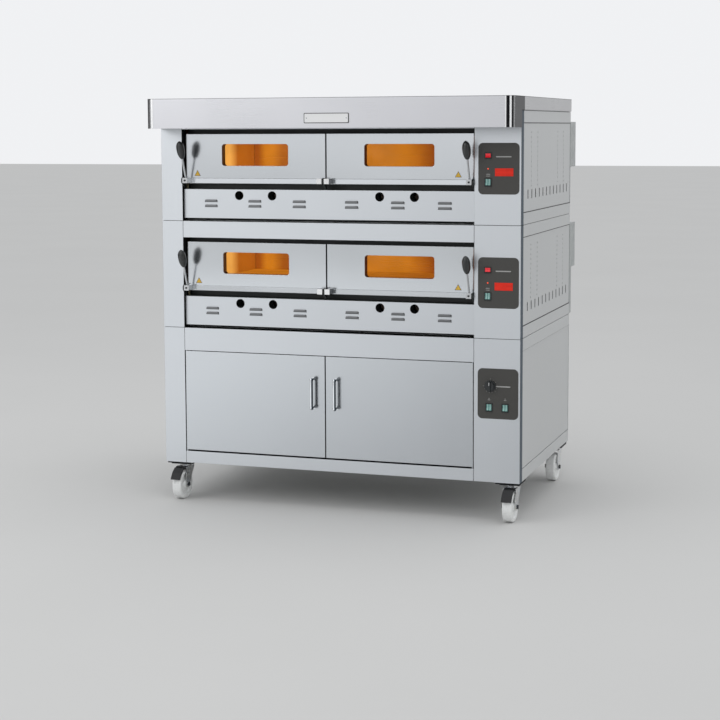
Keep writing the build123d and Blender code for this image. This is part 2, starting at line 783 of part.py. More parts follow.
# ---- write every node ----
def main():
    os.makedirs("parts", exist_ok=True)
    bases = list(DECKS.values())
    places = castor_places()

    save("castor_plates", *[castor_plate(*spot) for spot in places.values()])
    for corner, spot in places.items():
        fork = castor_fork(*spot)
        if corner.startswith("front"):
            fork += pedal_pin(*spot)
            save(f"{corner}_brake_pedal", brake_pedal(*spot))
        save(f"{corner}_fork", fork)
        save(f"{corner}_wheel", castor_wheel(*spot))

    save("cabinet_frame", *cabinet_frame())
    save("cabinet_panels", *cabinet_panels())
    save("cabinet_liner", *cabinet_liner())
    save("tray_runners", *tray_runners())
    save("proving_heater", *proving_heater())
    for side in ("left", "right"):
        save(f"{side}_cabinet_door", cabinet_door(side))
        save(f"{side}_cabinet_handle", cabinet_handle(side))

    save("deck_fronts", *[piece for base in bases for piece in deck_front(base)])
    save("louvre_panels", *[louvre_panel(base) for base in bases])
    rails = [rail for base in bases for rail in side_rails(base, base + DECK_H - SEAM, RAIL_H)]
    save("deck_side_rails", *rails)
    save("deck_side_panels", *[side_panel(base, side) for base in bases for side in ("left", "right")])
    save("deck_casings", *[piece for base in bases for piece in deck_casing(base)])
    save("door_surrounds", *[piece for base in bases for piece in door_surround(base)])
    save("chamber_liners", *[piece for base in bases for piece in chamber_liner(base)])
    save("hearth_stones", *[piece for base in bases for piece in hearth_stones(base)])
    save("insulation_blankets", *[piece for base in bases for piece in insulation(base)])
    save("gas_trains", *[gas_train(base) for base in bases])
    save("chamber_lamps", *[chamber_lamp(base) for base in bases])
    save("door_bearings", *[piece for base in bases for piece in door_bearings(base)])
    save("rear_boxes", *rear_boxes())
    save("hood", *hood())

    for deck, base in DECKS.items():
        for side in ("left", "right"):
            name = f"{deck}_{side}"
            save(f"{name}_door", *door_panel(base, side))
            save(f"{name}_window", door_window(base, side))
            save(f"{name}_lever", door_lever(base, side))
            save(f"{name}_knob", door_knob(base, side))

    save("control_plates", *control_plates())
    save("switch_bezels", *switch_bezels())
    save("display_modules", *display_modules())
    save("thermostat_knob", thermostat_knob())
    for name in switch_list():
        save(name, rocker(name))


main()
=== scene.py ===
"""The looks of the two-deck pizza oven: materials, small details, floor, light and camera.

Sizes are in metres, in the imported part's own frame: X to the right, Y to the back, Z up from the floor.
"""
import math

import bmesh
import bpy
from mathutils import Matrix, Vector


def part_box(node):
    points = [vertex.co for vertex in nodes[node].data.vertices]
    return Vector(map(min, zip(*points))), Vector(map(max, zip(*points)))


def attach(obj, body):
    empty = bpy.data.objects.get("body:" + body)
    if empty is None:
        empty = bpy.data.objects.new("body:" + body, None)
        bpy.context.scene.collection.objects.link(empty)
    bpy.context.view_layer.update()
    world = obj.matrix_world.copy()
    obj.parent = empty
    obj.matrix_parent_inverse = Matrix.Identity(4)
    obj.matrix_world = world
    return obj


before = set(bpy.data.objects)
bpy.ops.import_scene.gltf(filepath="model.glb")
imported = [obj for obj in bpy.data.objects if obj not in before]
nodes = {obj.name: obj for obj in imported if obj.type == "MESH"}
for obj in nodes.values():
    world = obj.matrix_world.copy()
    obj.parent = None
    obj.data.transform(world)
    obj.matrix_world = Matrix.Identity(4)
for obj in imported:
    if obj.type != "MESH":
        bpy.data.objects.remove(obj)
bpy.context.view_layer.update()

# ---- camera ----
CAMERA_AT = (2.2367, -6.8247, 1.5804)
CAMERA_YAW = 18.56
CAMERA_PITCH = 5.801
CAMERA_ROLL = -0.244
CAMERA_LENS = 82.42
CAMERA_SHIFT_Y = -0.09

# ---- places on the oven ----
DECK_NAMES = ("lower", "upper")
SIDES = ("left", "right")
DECK_PITCH = 0.4525
DECK_BASE = {"lower": 0.742, "upper": 0.742 + DECK_PITCH}
CABINET_BOTTOM = 0.160
BODY_FRONT = -0.4775
COLUMN_BACK = BODY_FRONT + 0.0455
DOOR_FACE = BODY_FRONT + 0.025
LOUVRE_FACE = BODY_FRONT + 0.014
PANEL_FACE = BODY_FRONT - 0.002
OPEN_MIDDLE = -0.0475
DOORWAY = (-0.6828, 0.5878)
PANEL_X = 0.685
PANEL_Z = {"lower": DECK_BASE["lower"] + 0.223, "upper": DECK_BASE["upper"] + 0.223, "cabinet": 0.520}
STONE_TOP = 0.186
DECK_CREASES = (0.048, 0.4025)
CABINET_CREASES = (0.210, 0.690)
CREASE_HALF = 0.0018
CHAMBER_LOW, CHAMBER_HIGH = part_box("chamber_liners")
HOOD_LOW, HOOD_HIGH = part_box("hood")
HOOD_CORNER_BACK = HOOD_LOW.y + 0.0352

# ---- colours ----
BLACK = (0.012, 0.012, 0.013)
FRONT = (0.71, 0.735, 0.76)
# painted dark reflection on the outer returns of the front columns
RETURN_REFLECTION = (0.13, 0.15, 0.17)
SIDE = (0.61, 0.62, 0.62)
HOOD = (0.70, 0.70, 0.725)
# painted shade on the hood's box sides and a painted dark reflection on its fascia sides
HOOD_BOX_SIDE_SHADE = (0.53, 0.53, 0.535)
HOOD_FLANK_REFLECTION = (0.175, 0.175, 0.178)

# light on the walls of the baking chambers, from brightest to darkest
PALE = (0.98, 0.48, 0.10)
ORANGE = (0.58, 0.19, 0.010)
AMBER = (0.34, 0.085, 0.006)
BROWN = (0.27, 0.056, 0.005)
DARK = (0.06, 0.018, 0.004)

# ---- noise ----
NOISE_SPAN = (0.3, 0.7)  # nearly all values of a noise lie in it
GRAIN = {"x": (2, 2, 2600), "y": (2600, 2, 2600), "z": (2600, 2600, 2)}


def middle(node):
    low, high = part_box(node)
    return (low + high) / 2


# ---- material nodes ----
class Look:
    """One material, built from a principled shader and noise in the object's own space."""

    def __init__(self, name, colour, rough, metal=0.0, coat=0.0):
        self.material = bpy.data.materials.new(name)
        self.material.use_nodes = True
        self.material.diffuse_color = (*colour, 1.0)
        self.tree = self.material.node_tree
        self.shader = self.tree.nodes["Principled BSDF"]
        self.set("Base Color", (*colour, 1.0))
        self.set("Roughness", rough)
        self.set("Metallic", metal)
        self.set("Coat Weight", coat)
        self.place = self.tree.nodes.new("ShaderNodeTexCoord")
        self.normal = None

    def set(self, socket, value):
        """Sets a constant on one of the shader's sockets."""
        self.shader.inputs[socket].default_value = value

    def feed(self, socket, value):
        """Links a node's output to one of the shader's sockets."""
        self.link(value, self.shader.inputs[socket])

    def source(self, socket):
        """The output that already feeds one of the shader's sockets."""
        return self.shader.inputs[socket].links[0].from_socket

    def link(self, start, end):
        self.tree.links.new(start, end)

    def noise(self, stretch, detail=3.0):
        """Noise whose grain is finer along an axis the larger that axis' stretch is."""
        mapping = self.tree.nodes.new("ShaderNodeMapping")
        mapping.inputs["Scale"].default_value = stretch
        self.link(self.place.outputs["Object"], mapping.inputs["Vector"])
        texture = self.tree.nodes.new("ShaderNodeTexNoise")
        texture.inputs["Scale"].default_value = 1.0
        texture.inputs["Detail"].default_value = detail
        self.link(mapping.outputs["Vector"], texture.inputs["Vector"])
        return texture.outputs[0]

    def even_noise(self, fineness, detail=3.0):
        return self.noise((fineness, fineness, fineness), detail)

    def split(self, vector, name):
        node = self.tree.nodes.new("ShaderNodeSeparateXYZ")
        self.link(vector, node.inputs[0])
        return node.outputs[name]

    def axis(self, name, space="Object"):
        return self.split(self.place.outputs[space], name)

    def facing(self, name):
        """How far the surface faces along one axis at rest, from -1 to 1."""
        return self.split(self.place.outputs["Normal"], name)

    def facing_either(self, name):
        """How far the surface faces either way along one axis at rest, from 0 to 1."""
        return self.maths("ABSOLUTE", self.facing(name))

    def ramp(self, value, stops):
        """A colour read off a ramp of (place, colour) stops."""
        node = self.tree.nodes.new("ShaderNodeValToRGB")
        elements = node.color_ramp.elements
        while len(elements) < len(stops):
            elements.new(0.5)
        for element, (place, colour) in zip(elements, stops):
            element.position = place
            element.color = (*colour, 1.0)
        self.link(value, node.inputs["Fac"])
        return node.outputs["Color"]

    def remap(self, value, source, target):
        node = self.tree.nodes.new("ShaderNodeMapRange")
        node.inputs["From Min"].default_value = source[0]
        node.inputs["From Max"].default_value = source[1]
        node.inputs["To Min"].default_value = target[0]
        node.inputs["To Max"].default_value = target[1]
        self.link(value, node.inputs["Value"])
        return node.outputs["Result"]

    def rise(self, value, start, end):
        """Goes from 0 to 1 as a value goes from start to end."""
        return self.remap(value, (start, end), (0.0, 1.0))

    def fall(self, value, start, end):
        """Goes from 1 to 0 as a value goes from start to end."""
        return self.remap(value, (start, end), (1.0, 0.0))

    def maths(self, operation, *values):
        node = self.tree.nodes.new("ShaderNodeMath")
        node.operation = operation
        for socket, value in zip(node.inputs, values):
            if isinstance(value, (int, float)):
                socket.default_value = value
            else:
                self.link(value, socket)
        return node.outputs[0]

    def above(self, value, limit):
        return self.maths("GREATER_THAN", value, limit)

    def below(self, value, limit):
        return self.maths("LESS_THAN", value, limit)

    def times(self, first, second):
        return self.maths("MULTIPLY", first, second)

    def larger(self, first, second):
        return self.maths("MAXIMUM", first, second)

    def between(self, value, low, high):
        """1 where a value lies between two limits, 0 elsewhere."""
        return self.times(self.above(value, low), self.below(value, high))

    def blend(self, value, start, end):
        """A colour between two others; each is a colour or another socket."""
        node = self.tree.nodes.new("ShaderNodeMix")
        node.data_type = "RGBA"
        self.link(value, node.inputs["Factor"])
        for socket, colour in ((node.inputs[6], start), (node.inputs[7], end)):
            if isinstance(colour, tuple):
                socket.default_value = (*colour, 1.0)
            else:
                self.link(colour, socket)
        return node.outputs[2]

    def paint(self, colour):
        self.feed("Base Color", colour)

    def paint_over(self, share, colour):
        """Covers the present base colour with another one where share is 1."""
        self.paint(self.blend(share, self.source("Base Color"), colour))

    def roughen(self, value):
        self.feed("Roughness", value)

    def metal_except(self, plain):
        """Metal, but not where plain is 1."""
        self.feed("Metallic", self.maths("SUBTRACT", 1.0, plain))

    def soften_edges(self, radius):
        node = self.tree.nodes.new("ShaderNodeBevel")
        node.samples = 4
        node.inputs["Radius"].default_value = radius
        self.normal = node.outputs["Normal"]
        self.feed("Normal", self.normal)

    def bump(self, value, height, strength=1.0):
        node = self.tree.nodes.new("ShaderNodeBump")
        node.inputs["Strength"].default_value = strength
        node.inputs["Distance"].default_value = height
        self.link(value, node.inputs["Height"])
        if self.normal is not None:
            self.link(self.normal, node.inputs["Normal"])
        self.normal = node.outputs["Normal"]
        self.feed("Normal", self.normal)

    def deck_height(self):
        """Height above the underside of whichever deck the surface is in."""
        height = self.maths("SUBTRACT", self.axis("Z"), DECK_BASE["lower"])
        return self.maths("MODULO", self.maths("ADD", height, 10 * DECK_PITCH), DECK_PITCH)


def shade(colour, factor):
    return tuple(min(1.0, channel * factor) for channel in colour)


# ---- plain materials ----
def steel(name, colour, rough, grain="x", variation=0.02, edge=0.0012, metal=1.0):
    """Brushed sheet: fine scratches along one axis, soft smudges and rounded edges."""
    look = Look(name, colour, rough, metal=metal)
    scratches = look.noise(GRAIN[grain], detail=2.0)
    smudges = look.even_noise(2.3, detail=5.0)
    scratch_tone = look.remap(scratches, NOISE_SPAN, (0.0, 0.5))
    smudge_tone = look.remap(smudges, NOISE_SPAN, (0.0, 0.5))
    tone = look.maths("ADD", scratch_tone, smudge_tone)
    look.paint(look.blend(tone, shade(colour, 1 - variation), shade(colour, 1 + variation)))
    scratch_roughness = look.remap(scratches, NOISE_SPAN, (rough - 0.02, rough + 0.02))
    smudge_roughness = look.remap(smudges, (0.35, 0.7), (0.0, 0.05))
    look.roughen(look.maths("ADD", scratch_roughness, smudge_roughness))
    look.soften_edges(edge)
    look.bump(scratches, 0.000004)
    return look


def enamel(name, colour, rough):
    """Dull dark paint with a fine orange-peel surface and dusty patches."""
    look = Look(name, colour, rough)
    dust = look.even_noise(9, detail=6.0)
    grain = look.even_noise(500, detail=2.0)
    look.paint(look.blend(look.rise(dust, 0.4, 0.75), colour, shade(colour, 1.9)))
    look.roughen(look.remap(dust, NOISE_SPAN, (rough - 0.06, rough + 0.1)))
    look.soften_edges(0.0008)
    look.bump(grain, 0.00004)
    return look


def plastic(name, colour, rough, coat=0.0, grain=900, wear=0.12):
    """Moulded plastic with a fine texture and slightly polished patches."""
    look = Look(name, colour, rough, coat=coat)
    patches = look.even_noise(24, detail=4.0)
    fine = look.even_noise(grain, detail=1.0)
    look.paint(look.blend(patches, shade(colour, 1 - wear), shade(colour, 1 + wear)))
    look.roughen(look.remap(patches, NOISE_SPAN, (rough - 0.05, rough + 0.07)))
    look.bump(fine, 0.00003)
    return look


def zinc_plate(name):
    """Bright zinc with a faint blue and yellow bloom."""
    look = Look(name, (0.75, 0.77, 0.80), 0.24, metal=1.0)
    bloom = look.even_noise(45, detail=3.0)
    fine = look.even_noise(260, detail=2.0)
    look.paint(look.blend(look.rise(bloom, 0.35, 0.65), (0.70, 0.73, 0.78), (0.84, 0.83, 0.80)))
    look.roughen(look.remap(fine, NOISE_SPAN, (0.18, 0.32)))
    look.soften_edges(0.0008)
    look.bump(fine, 0.00004)
    return look


def chrome_plate():
    """Polished chrome with faint smears."""
    look = Look("chrome_plate", (0.66, 0.68, 0.70), 0.07, metal=1.0)
    smears = look.noise((60, 60, 18), detail=4.0)
    look.paint(look.blend(smears, (0.62, 0.64, 0.66), (0.72, 0.74, 0.76)))
    look.roughen(look.remap(smears, (0.35, 0.7), (0.05, 0.16)))
    look.bump(look.even_noise(120), 0.00002)
    return look


def mineral_wool():
    """Yellow fibres in clumps, painted black as shade on the left and right sides."""
    look = Look("mineral_wool", (0.62, 0.55, 0.34), 1.0)
    fibres = look.noise((160, 160, 700), detail=6.0)
    clumps = look.even_noise(40, detail=4.0)
    wool = look.blend(clumps, (0.48, 0.42, 0.24), (0.70, 0.64, 0.43))
    # painted shade: the faces seen through the side slots are coloured black
    look.paint(look.blend(look.above(look.facing_either("X"), 0.9), wool, BLACK))
    look.bump(fibres, 0.002, 0.8)
    return look


def gas_pipe_steel():
    """Dark pipe with patches of brown scale."""
    look = Look("gas_pipe_steel", (0.10, 0.085, 0.075), 0.6, metal=0.6)
    scale = look.even_noise(60, detail=6.0)
    look.paint(look.blend(look.rise(scale, 0.4, 0.65), (0.08, 0.07, 0.065), (0.24, 0.15, 0.10)))
    look.roughen(look.remap(scale, NOISE_SPAN, (0.45, 0.8)))
    look.bump(scale, 0.0002)
    return look


def nylon():
    """White nylon with grey scuffs."""
    look = plastic("white_nylon", (0.80, 0.81, 0.80), 0.42, wear=0.02)
    scuffs = look.remap(look.even_noise(70, detail=6.0), (0.55, 0.75), (0.0, 0.55))
    look.paint(look.blend(scuffs, (0.82, 0.83, 0.82), (0.48, 0.48, 0.47)))
    look.set("Subsurface Weight", 0.08)
    look.set("Subsurface Radius", (0.004, 0.004, 0.004))
    return look


def amber_glass():
    """Oven glass: clear, with a brown heat-proof tint and a faint film of grease."""
    look = Look("amber_glass", (0.20, 0.06, 0.008), 0.04)
    film = look.even_noise(14, detail=5.0)
    look.paint(look.blend(film, (0.16, 0.045, 0.004), (0.24, 0.08, 0.010)))
    look.roughen(look.remap(film, NOISE_SPAN, (0.02, 0.12)))
    look.set("Alpha", 0.12)
    look.set("Specular IOR Level", 0.05)
    look.set("IOR", 1.45)
    return look


# ---- materials that glow ----
def lit_liner():
    """Heat-tinted sheet of the baking chambers, with the amber light of the lamp in the left wall painted on
    as a glow.
    """
    look = Look("lit_chamber_sheet", (0.30, 0.24, 0.18), 0.32, metal=0.9)
    streaks = look.noise((1.5, 260, 260), detail=3.0)
    tint = look.even_noise(3, detail=4.0)
    look.paint(look.blend(look.rise(tint, 0.35, 0.65), (0.34, 0.28, 0.22), (0.24, 0.17, 0.11)))
    look.roughen(look.remap(streaks, NOISE_SPAN, (0.26, 0.42)))
    look.bump(streaks, 0.00005)
    # painted light: the lamp's amber glow on the walls, back and ceiling is set as an emission colour
    along = look.rise(look.axis("Y"), CHAMBER_LOW.y, CHAMBER_HIGH.y)
    across = look.rise(look.axis("X"), CHAMBER_LOW.x, CHAMBER_HIGH.x)
    wall = look.ramp(along, [(0.50, PALE), (0.58, PALE), (0.71, AMBER), (0.985, AMBER), (1.0, DARK)])
    back = look.ramp(across, [(0.0, DARK), (0.004, BROWN), (0.018, BROWN), (0.045, ORANGE), (0.072, ORANGE),
                              (0.115, BROWN), (0.14, BROWN), (0.28, ORANGE), (0.60, ORANGE), (0.70, BROWN),
                              (1.0, BROWN)])
    light = look.blend(look.rise(look.facing("X"), 0.5, 0.9), back, wall)
    light = look.blend(look.rise(look.facing("Z"), -0.5, -0.9), light, DARK)
    look.feed("Emission Color", light)
    mottle = look.remap(look.noise((7, 3, 9), detail=3.0), NOISE_SPAN, (0.8, 1.1))
    above_stones = look.above(look.deck_height(), STONE_TOP)
    look.feed("Emission Strength", look.times(mottle, above_stones))
    return look


def stone_slab():
    """Pale cordierite with coarse grit and scorched patches, with amber lamp light painted on top as a glow.
    """
    look = Look("cordierite", (0.55, 0.47, 0.36), 0.9)
    grit = look.even_noise(420, detail=5.0)
    scorch = look.remap(look.even_noise(5, detail=5.0), (0.5, 0.75), (0.0, 0.7))
    base = look.blend(look.rise(grit, 0.35, 0.65), (0.50, 0.42, 0.31), (0.66, 0.58, 0.46))
    look.paint(look.blend(scorch, base, (0.20, 0.14, 0.09)))
    look.bump(grit, 0.0004, 0.7)
    # painted light: the lamp's amber glow on the stone's top is set as an emission colour
    across = look.rise(look.axis("X"), CHAMBER_LOW.x, CHAMBER_HIGH.x)
    light = look.ramp(across, [(0.0, ORANGE), (0.25, ORANGE), (0.5, (0.50, 0.16, 0.010)), (1.0, BROWN)])
    look.feed("Emission Color", light)
    top = look.remap(look.facing("Z"), (0.5, 0.9), (0.0, 0.8))
    look.feed("Emission Strength", look.times(top, look.remap(grit, NOISE_SPAN, (0.75, 1.1))))
    return look


def lamp_lens():
    """Frosted glass over the chamber lamp."""
    look = Look("lamp_lens", (1.0, 0.80, 0.45), 0.3)
    ribs = look.even_noise(300, detail=1.0)
    look.paint(look.blend(ribs, (0.9, 0.68, 0.35), (1.0, 0.85, 0.55)))
    look.set("Emission Color", (1.0, 0.62, 0.22, 1.0))
    look.set("Emission Strength", 5.0)
    look.bump(ribs, 0.0003)
    return look


def display_window():
    """Red filter lit from behind, a little unevenly."""
    look = Look("display_window", (0.30, 0.02, 0.01), 0.5)
    look.set("Specular IOR Level", 0.2)
    rows = look.noise((30, 30, 90), detail=2.0)
    look.paint(look.blend(rows, (0.34, 0.010, 0.005), (0.42, 0.014, 0.007)))
    look.set("Emission Color", (1.0, 0.035, 0.012, 1.0))
    look.feed("Emission Strength", look.remap(rows, NOISE_SPAN, (0.24, 0.32)))
    return look


def lit_key(name, colour, light, glow):
    """Translucent rocker with two paler upright bars."""
    look = plastic(name, colour, 0.28, coat=0.3, wear=0.08)
    from_side = look.maths("PINGPONG", look.axis("X", "Generated"), 0.5)
    from_bar = look.maths("ABSOLUTE", look.maths("SUBTRACT", from_side, 0.26))
    look.paint(look.blend(look.fall(from_bar, 0.04, 0.10), colour, light))
    look.set("Emission Color", (*colour, 1.0))
    look.set("Emission Strength", glow)
    return look


def signal_lamp():
    """Small orange lamp that is on."""
    look = plastic("led_orange", (0.8, 0.06, 0.02), 0.3)
    look.set("Emission Color", (1.0, 0.10, 0.03, 1.0))
    look.set("Emission Strength", 0.5)
    return look


# ---- sheets that change from place to place ----
def front_sheet(name, rough):
    """Front columns: bright in front, with a painted dark reflection in slate grey on the outer returns, and
    black inside the doorway.
    """
    look = steel(name, FRONT, rough, "z")
    sideways = look.rise(look.facing_either("X"), 0.5, 0.9)
    outer = look.times(sideways, look.below(look.axis("Y"), COLUMN_BACK))
    edgeways = look.fall(look.facing_either("Y"), 0.4, 0.7)
    black = look.times(edgeways, look.between(look.axis("X"), *DOORWAY))
    look.paint_over(sideways, SIDE)
    # painted reflection: the outer returns are coloured slate grey and not metal, for the dark room they
    # mirror
    look.paint_over(outer, RETURN_REFLECTION)
    look.paint_over(black, BLACK)
    look.metal_except(look.larger(look.times(sideways, 0.6), look.larger(outer, black)))
    look.set("Specular IOR Level", 0.0)
    return look


def cabinet_sheet():
    """The cabinet's front, with black rubber pads under it and a dark seam above it."""
    look = front_sheet("cabinet_front_sheet", 0.34)
    height = look.axis("Z")
    pad = look.below(height, CABINET_BOTTOM - 0.0005)
    seam = look.between(height, DECK_BASE["lower"] - 0.0019, DECK_BASE["lower"] + 0.001)
    black = look.larger(pad, seam)
    look.paint_over(black, BLACK)
    metal = look.source("Metallic")
    look.feed("Metallic", look.maths("MINIMUM", metal, look.maths("SUBTRACT", 1.0, black)))
    return look


def crease_at(look, height, place):
    return look.between(height, place - CREASE_HALF, place + CREASE_HALF)


def side_sheet():
    """Satin side sheet with painted shadow lines where the panels meet their rails."""
    look = steel("side_sheet", SIDE, 0.5, "z", metal=0.4)
    deck_height = look.deck_height()
    height = look.axis("Z")
    low_crease, high_crease = (crease_at(look, deck_height, place) for place in DECK_CREASES)
    crease = look.times(look.larger(low_crease, high_crease), look.above(height, DECK_BASE["lower"]))
    for place in CABINET_CREASES:
        crease = look.larger(crease, crease_at(look, height, place))
    # painted shadow: dark lines along the joints of panels and rails
    look.paint_over(look.times(crease, 0.9), BLACK)
    return look


def galvanised_sheet():
    """Dull hot-dip zinc with large soft spangles, dark in the seams between the modules."""
    look = Look("galvanised_sheet", (0.45, 0.47, 0.47), 0.5, metal=0.6)
    cells = look.tree.nodes.new("ShaderNodeTexVoronoi")
    cells.inputs["Scale"].default_value = 70
    look.link(look.place.outputs["Object"], cells.inputs["Vector"])
    tone = look.remap(look.split(cells.outputs["Color"], "X"), (0.0, 1.0), (0.25, 0.75))
    look.paint(look.blend(tone, (0.42, 0.44, 0.44), (0.54, 0.56, 0.55)))
    look.paint_over(look.above(look.deck_height(), DECK_PITCH - 0.0022), BLACK)
    look.roughen(look.remap(look.even_noise(30), NOISE_SPAN, (0.42, 0.6)))
    look.soften_edges(0.001)
    look.bump(look.even_noise(300), 0.00003)
    return look


def deck_door_sheet():
    """Soft mirror finish with painted shade on its edges, its window tunnel and the fold of its lip, and a
    white pivot block at each foot.
    """
    look = steel("deck_door_sheet", shade(FRONT, 1.03), 0.14, "x", 0.012)
    block = look.below(look.axis("Y"), DOOR_FACE - 0.0005)
    edgeways = look.fall(look.facing_either("Y"), 0.35, 0.75)
    # painted shade: a dark line along the fold of the door's lip
    crease = look.between(look.deck_height(), 0.1774, 0.1786)
    look.paint_over(look.times(crease, 0.55), (0.10, 0.10, 0.11))
    look.paint_over(block, (0.93, 0.93, 0.93))
    # painted shade on the edges in the gaps, in the window tunnel and on the sides of the pivot blocks
    look.paint_over(edgeways, (0.022, 0.028, 0.034))
    look.metal_except(look.larger(look.times(block, 0.7), edgeways))
    return look


def cabinet_door_sheet():
    """Satin door skin, a little darker than the front as painted shade, with painted shade on its edges in
    the gaps.
    """
    # painted shade: the base colour is the front's, a little darker
    look = steel("cabinet_door_sheet", shade(FRONT, 0.93), 0.20, "z")
    # painted shade on the edges in the gaps
    look.paint_over(look.fall(look.facing_either("Y"), 0.35, 0.75), (0.03, 0.03, 0.032))
    return look


def hood_sheet():
    """Satin hood, with painted reflections in stripes round its front corners, painted shade on its box
    sides, a painted dark reflection on its fascia sides and a painted shadow line along the top.
    """
    look = steel("hood_sheet", HOOD, 0.28, "x", 0.015)
    depth = look.axis("Y")
    sideways = look.rise(look.facing_either("X"), 0.6, 0.95)
    shaded_box_side = look.times(sideways, look.above(depth, COLUMN_BACK))
    flank = look.times(sideways, look.between(depth, HOOD_CORNER_BACK, COLUMN_BACK))
    # painted shade on the box sides and a painted dark reflection on the fascia sides
    look.paint_over(shaded_box_side, HOOD_BOX_SIDE_SHADE)
    look.paint_over(flank, HOOD_FLANK_REFLECTION)
    bent = look.above(look.facing_either("X"), 0.06)
    corner = look.times(look.below(depth, HOOD_CORNER_BACK), bent)
    # painted reflections: stripes round the front corners
    look.paint_over(corner, painted_corner_reflections(look))
    # painted shadow: a dark line just under the top edge
    crease = look.times(look.above(look.axis("Z"), HOOD_HIGH.z - 0.0022), look.below(look.facing("Z"), 0.5))
    look.paint_over(look.times(crease, 0.6), (0.02, 0.02, 0.022))
    look.metal_except(look.larger(look.times(shaded_box_side, 0.65), flank))
    look.set("Specular IOR Level", 0.0)
    return look


def painted_corner_reflections(look):
    """Painted reflections: the dark and bright upright stripes that a bent mirror shows, by how far it has
    turned.
    """
    black, white = (0, 0, 0), (1, 1, 1)
    turned = look.rise(look.facing("X"), -1.0, 1.0)
    stripes = look.ramp(turned, [(0.0, black), (0.10, black), (0.14, white), (0.56, white), (0.59, black),
                                 (0.73, black), (0.77, white), (0.84, white), (0.865, black), (0.92, black),
                                 (0.94, white), (0.98, white), (0.99, black), (1.0, black)])
    return look.blend(stripes, (0.025, 0.025, 0.028), (1.0, 1.0, 1.0))


def handle_chrome():
    """Polished handle with painted reflections: bright along one flank, dark along the other and behind."""
    look = chrome_plate()
    turned = look.rise(look.facing("X"), -1.0, 1.0)
    dark, mid, bright = (0.04, 0.05, 0.055), (0.30, 0.35, 0.39), (0.97, 0.98, 0.99)
    # painted reflections round the grip, by the way it faces
    flank_reflections = look.ramp(turned, [(0.0, mid), (0.06, bright), (0.48, bright), (0.56, mid), (0.68, mid),
                                (0.76, dark), (0.97, dark), (1.0, mid)])
    look.paint(look.blend(look.rise(look.facing("Y"), -0.1, 0.3), flank_reflections, dark))
    return look


def castor_top():
    """Mounting plate coloured black, over the bright zinc of the swivel race."""
    look = zinc_plate("castor_top")
    plate = look.above(look.axis("Z"), CABINET_BOTTOM - 0.0102)
    look.paint_over(plate, BLACK)
    look.metal_except(plate)
    return look


def fork_zinc():
    """Bright zinc with blackened axle nuts."""
    look = zinc_plate("fork_zinc")
    off_centre = look.maths("ABSOLUTE", look.maths("SUBTRACT", look.axis("X", "Generated"), 0.5))
    look.paint_over(look.above(off_centre, 0.41), (0.05, 0.055, 0.06))
    return look


looks = {
    "cabinet_frame": cabinet_sheet(),
    "deck_fronts": front_sheet("deck_front_sheet", 0.34),
    "louvre": steel("louvre_sheet", shade(FRONT, 0.97), 0.34, "x"),
    "cabinet_door": cabinet_door_sheet(),
    "deck_door": deck_door_sheet(),
    "door_lip": steel("door_lip_sheet", shade(FRONT, 1.03), 0.14, "x", 0.012),
    # painted shade: the louvre lips are the panel's own steel, coloured darker
    "louvre_lip": steel("louvre_lip_sheet", (0.26, 0.265, 0.27), 0.4, "x"),
    "side": side_sheet(),
    "hood": hood_sheet(),
    "cabinet_liner": steel("liner_sheet", (0.52, 0.51, 0.48), 0.4, "x", 0.05),
    "heater": steel("heater_sheet", (0.38, 0.36, 0.33), 0.45, "y", 0.1),
    "lever": steel("lever_steel", (0.62, 0.63, 0.64), 0.22, "z", 0.04, 0.0006),
    "enamel": enamel("black_enamel", (0.009, 0.012, 0.011), 0.45),
    "gas": gas_pipe_steel(),
    "galvanised": galvanised_sheet(),
    "fork_zinc": fork_zinc(),
    "chrome": handle_chrome(),
    "castor_top": castor_top(),
    "stone": stone_slab(),
    "wool": mineral_wool(),
    "liner": lit_liner(),
    "glass": amber_glass(),
    "lamp": lamp_lens(),
    "display": display_window(),
    "nylon": nylon(),
    "bakelite": plastic("bakelite", (0.022, 0.024, 0.024), 0.3, coat=0.4),
    "pedal": plastic("pedal_black", (0.010, 0.010, 0.011), 0.5),
    "overlay": plastic("panel_overlay", (0.050, 0.048, 0.043), 0.5, grain=1500, wear=0.05),
    "bezel": plastic("switch_black", (0.010, 0.014, 0.014), 0.35, coat=0.1),
    "red_key": lit_key("red_key", (0.62, 0.012, 0.022), (0.70, 0.02, 0.03), 0.35),
    "green_key": lit_key("green_key", (0.10, 0.26, 0.235), (0.36, 0.56, 0.52), 0.02),
    "thermostat": plastic("thermostat_black", (0.014, 0.017, 0.018), 0.3, coat=0.3),
    "badge": plastic("badge_enamel", (0.80, 0.80, 0.80), 0.35, coat=0.2, wear=0.02),
    "badge_rim": plastic("badge_rim", (0.05, 0.05, 0.05), 0.35),
    "yellow": plastic("caution_yellow", (0.72, 0.44, 0.03), 0.45, wear=0.06),
    "mark": plastic("printed_mark", (0.36, 0.36, 0.35), 0.5, wear=0.1),
    "led": signal_lamp(),
}


def dress(node, key):
    """Gives every material slot of a CAD node one material."""
    mesh = nodes[node].data
    if not mesh.materials:
        mesh.materials.append(looks[key].material)
    for index in range(len(mesh.materials)):
        mesh.materials[index] = looks[key].material


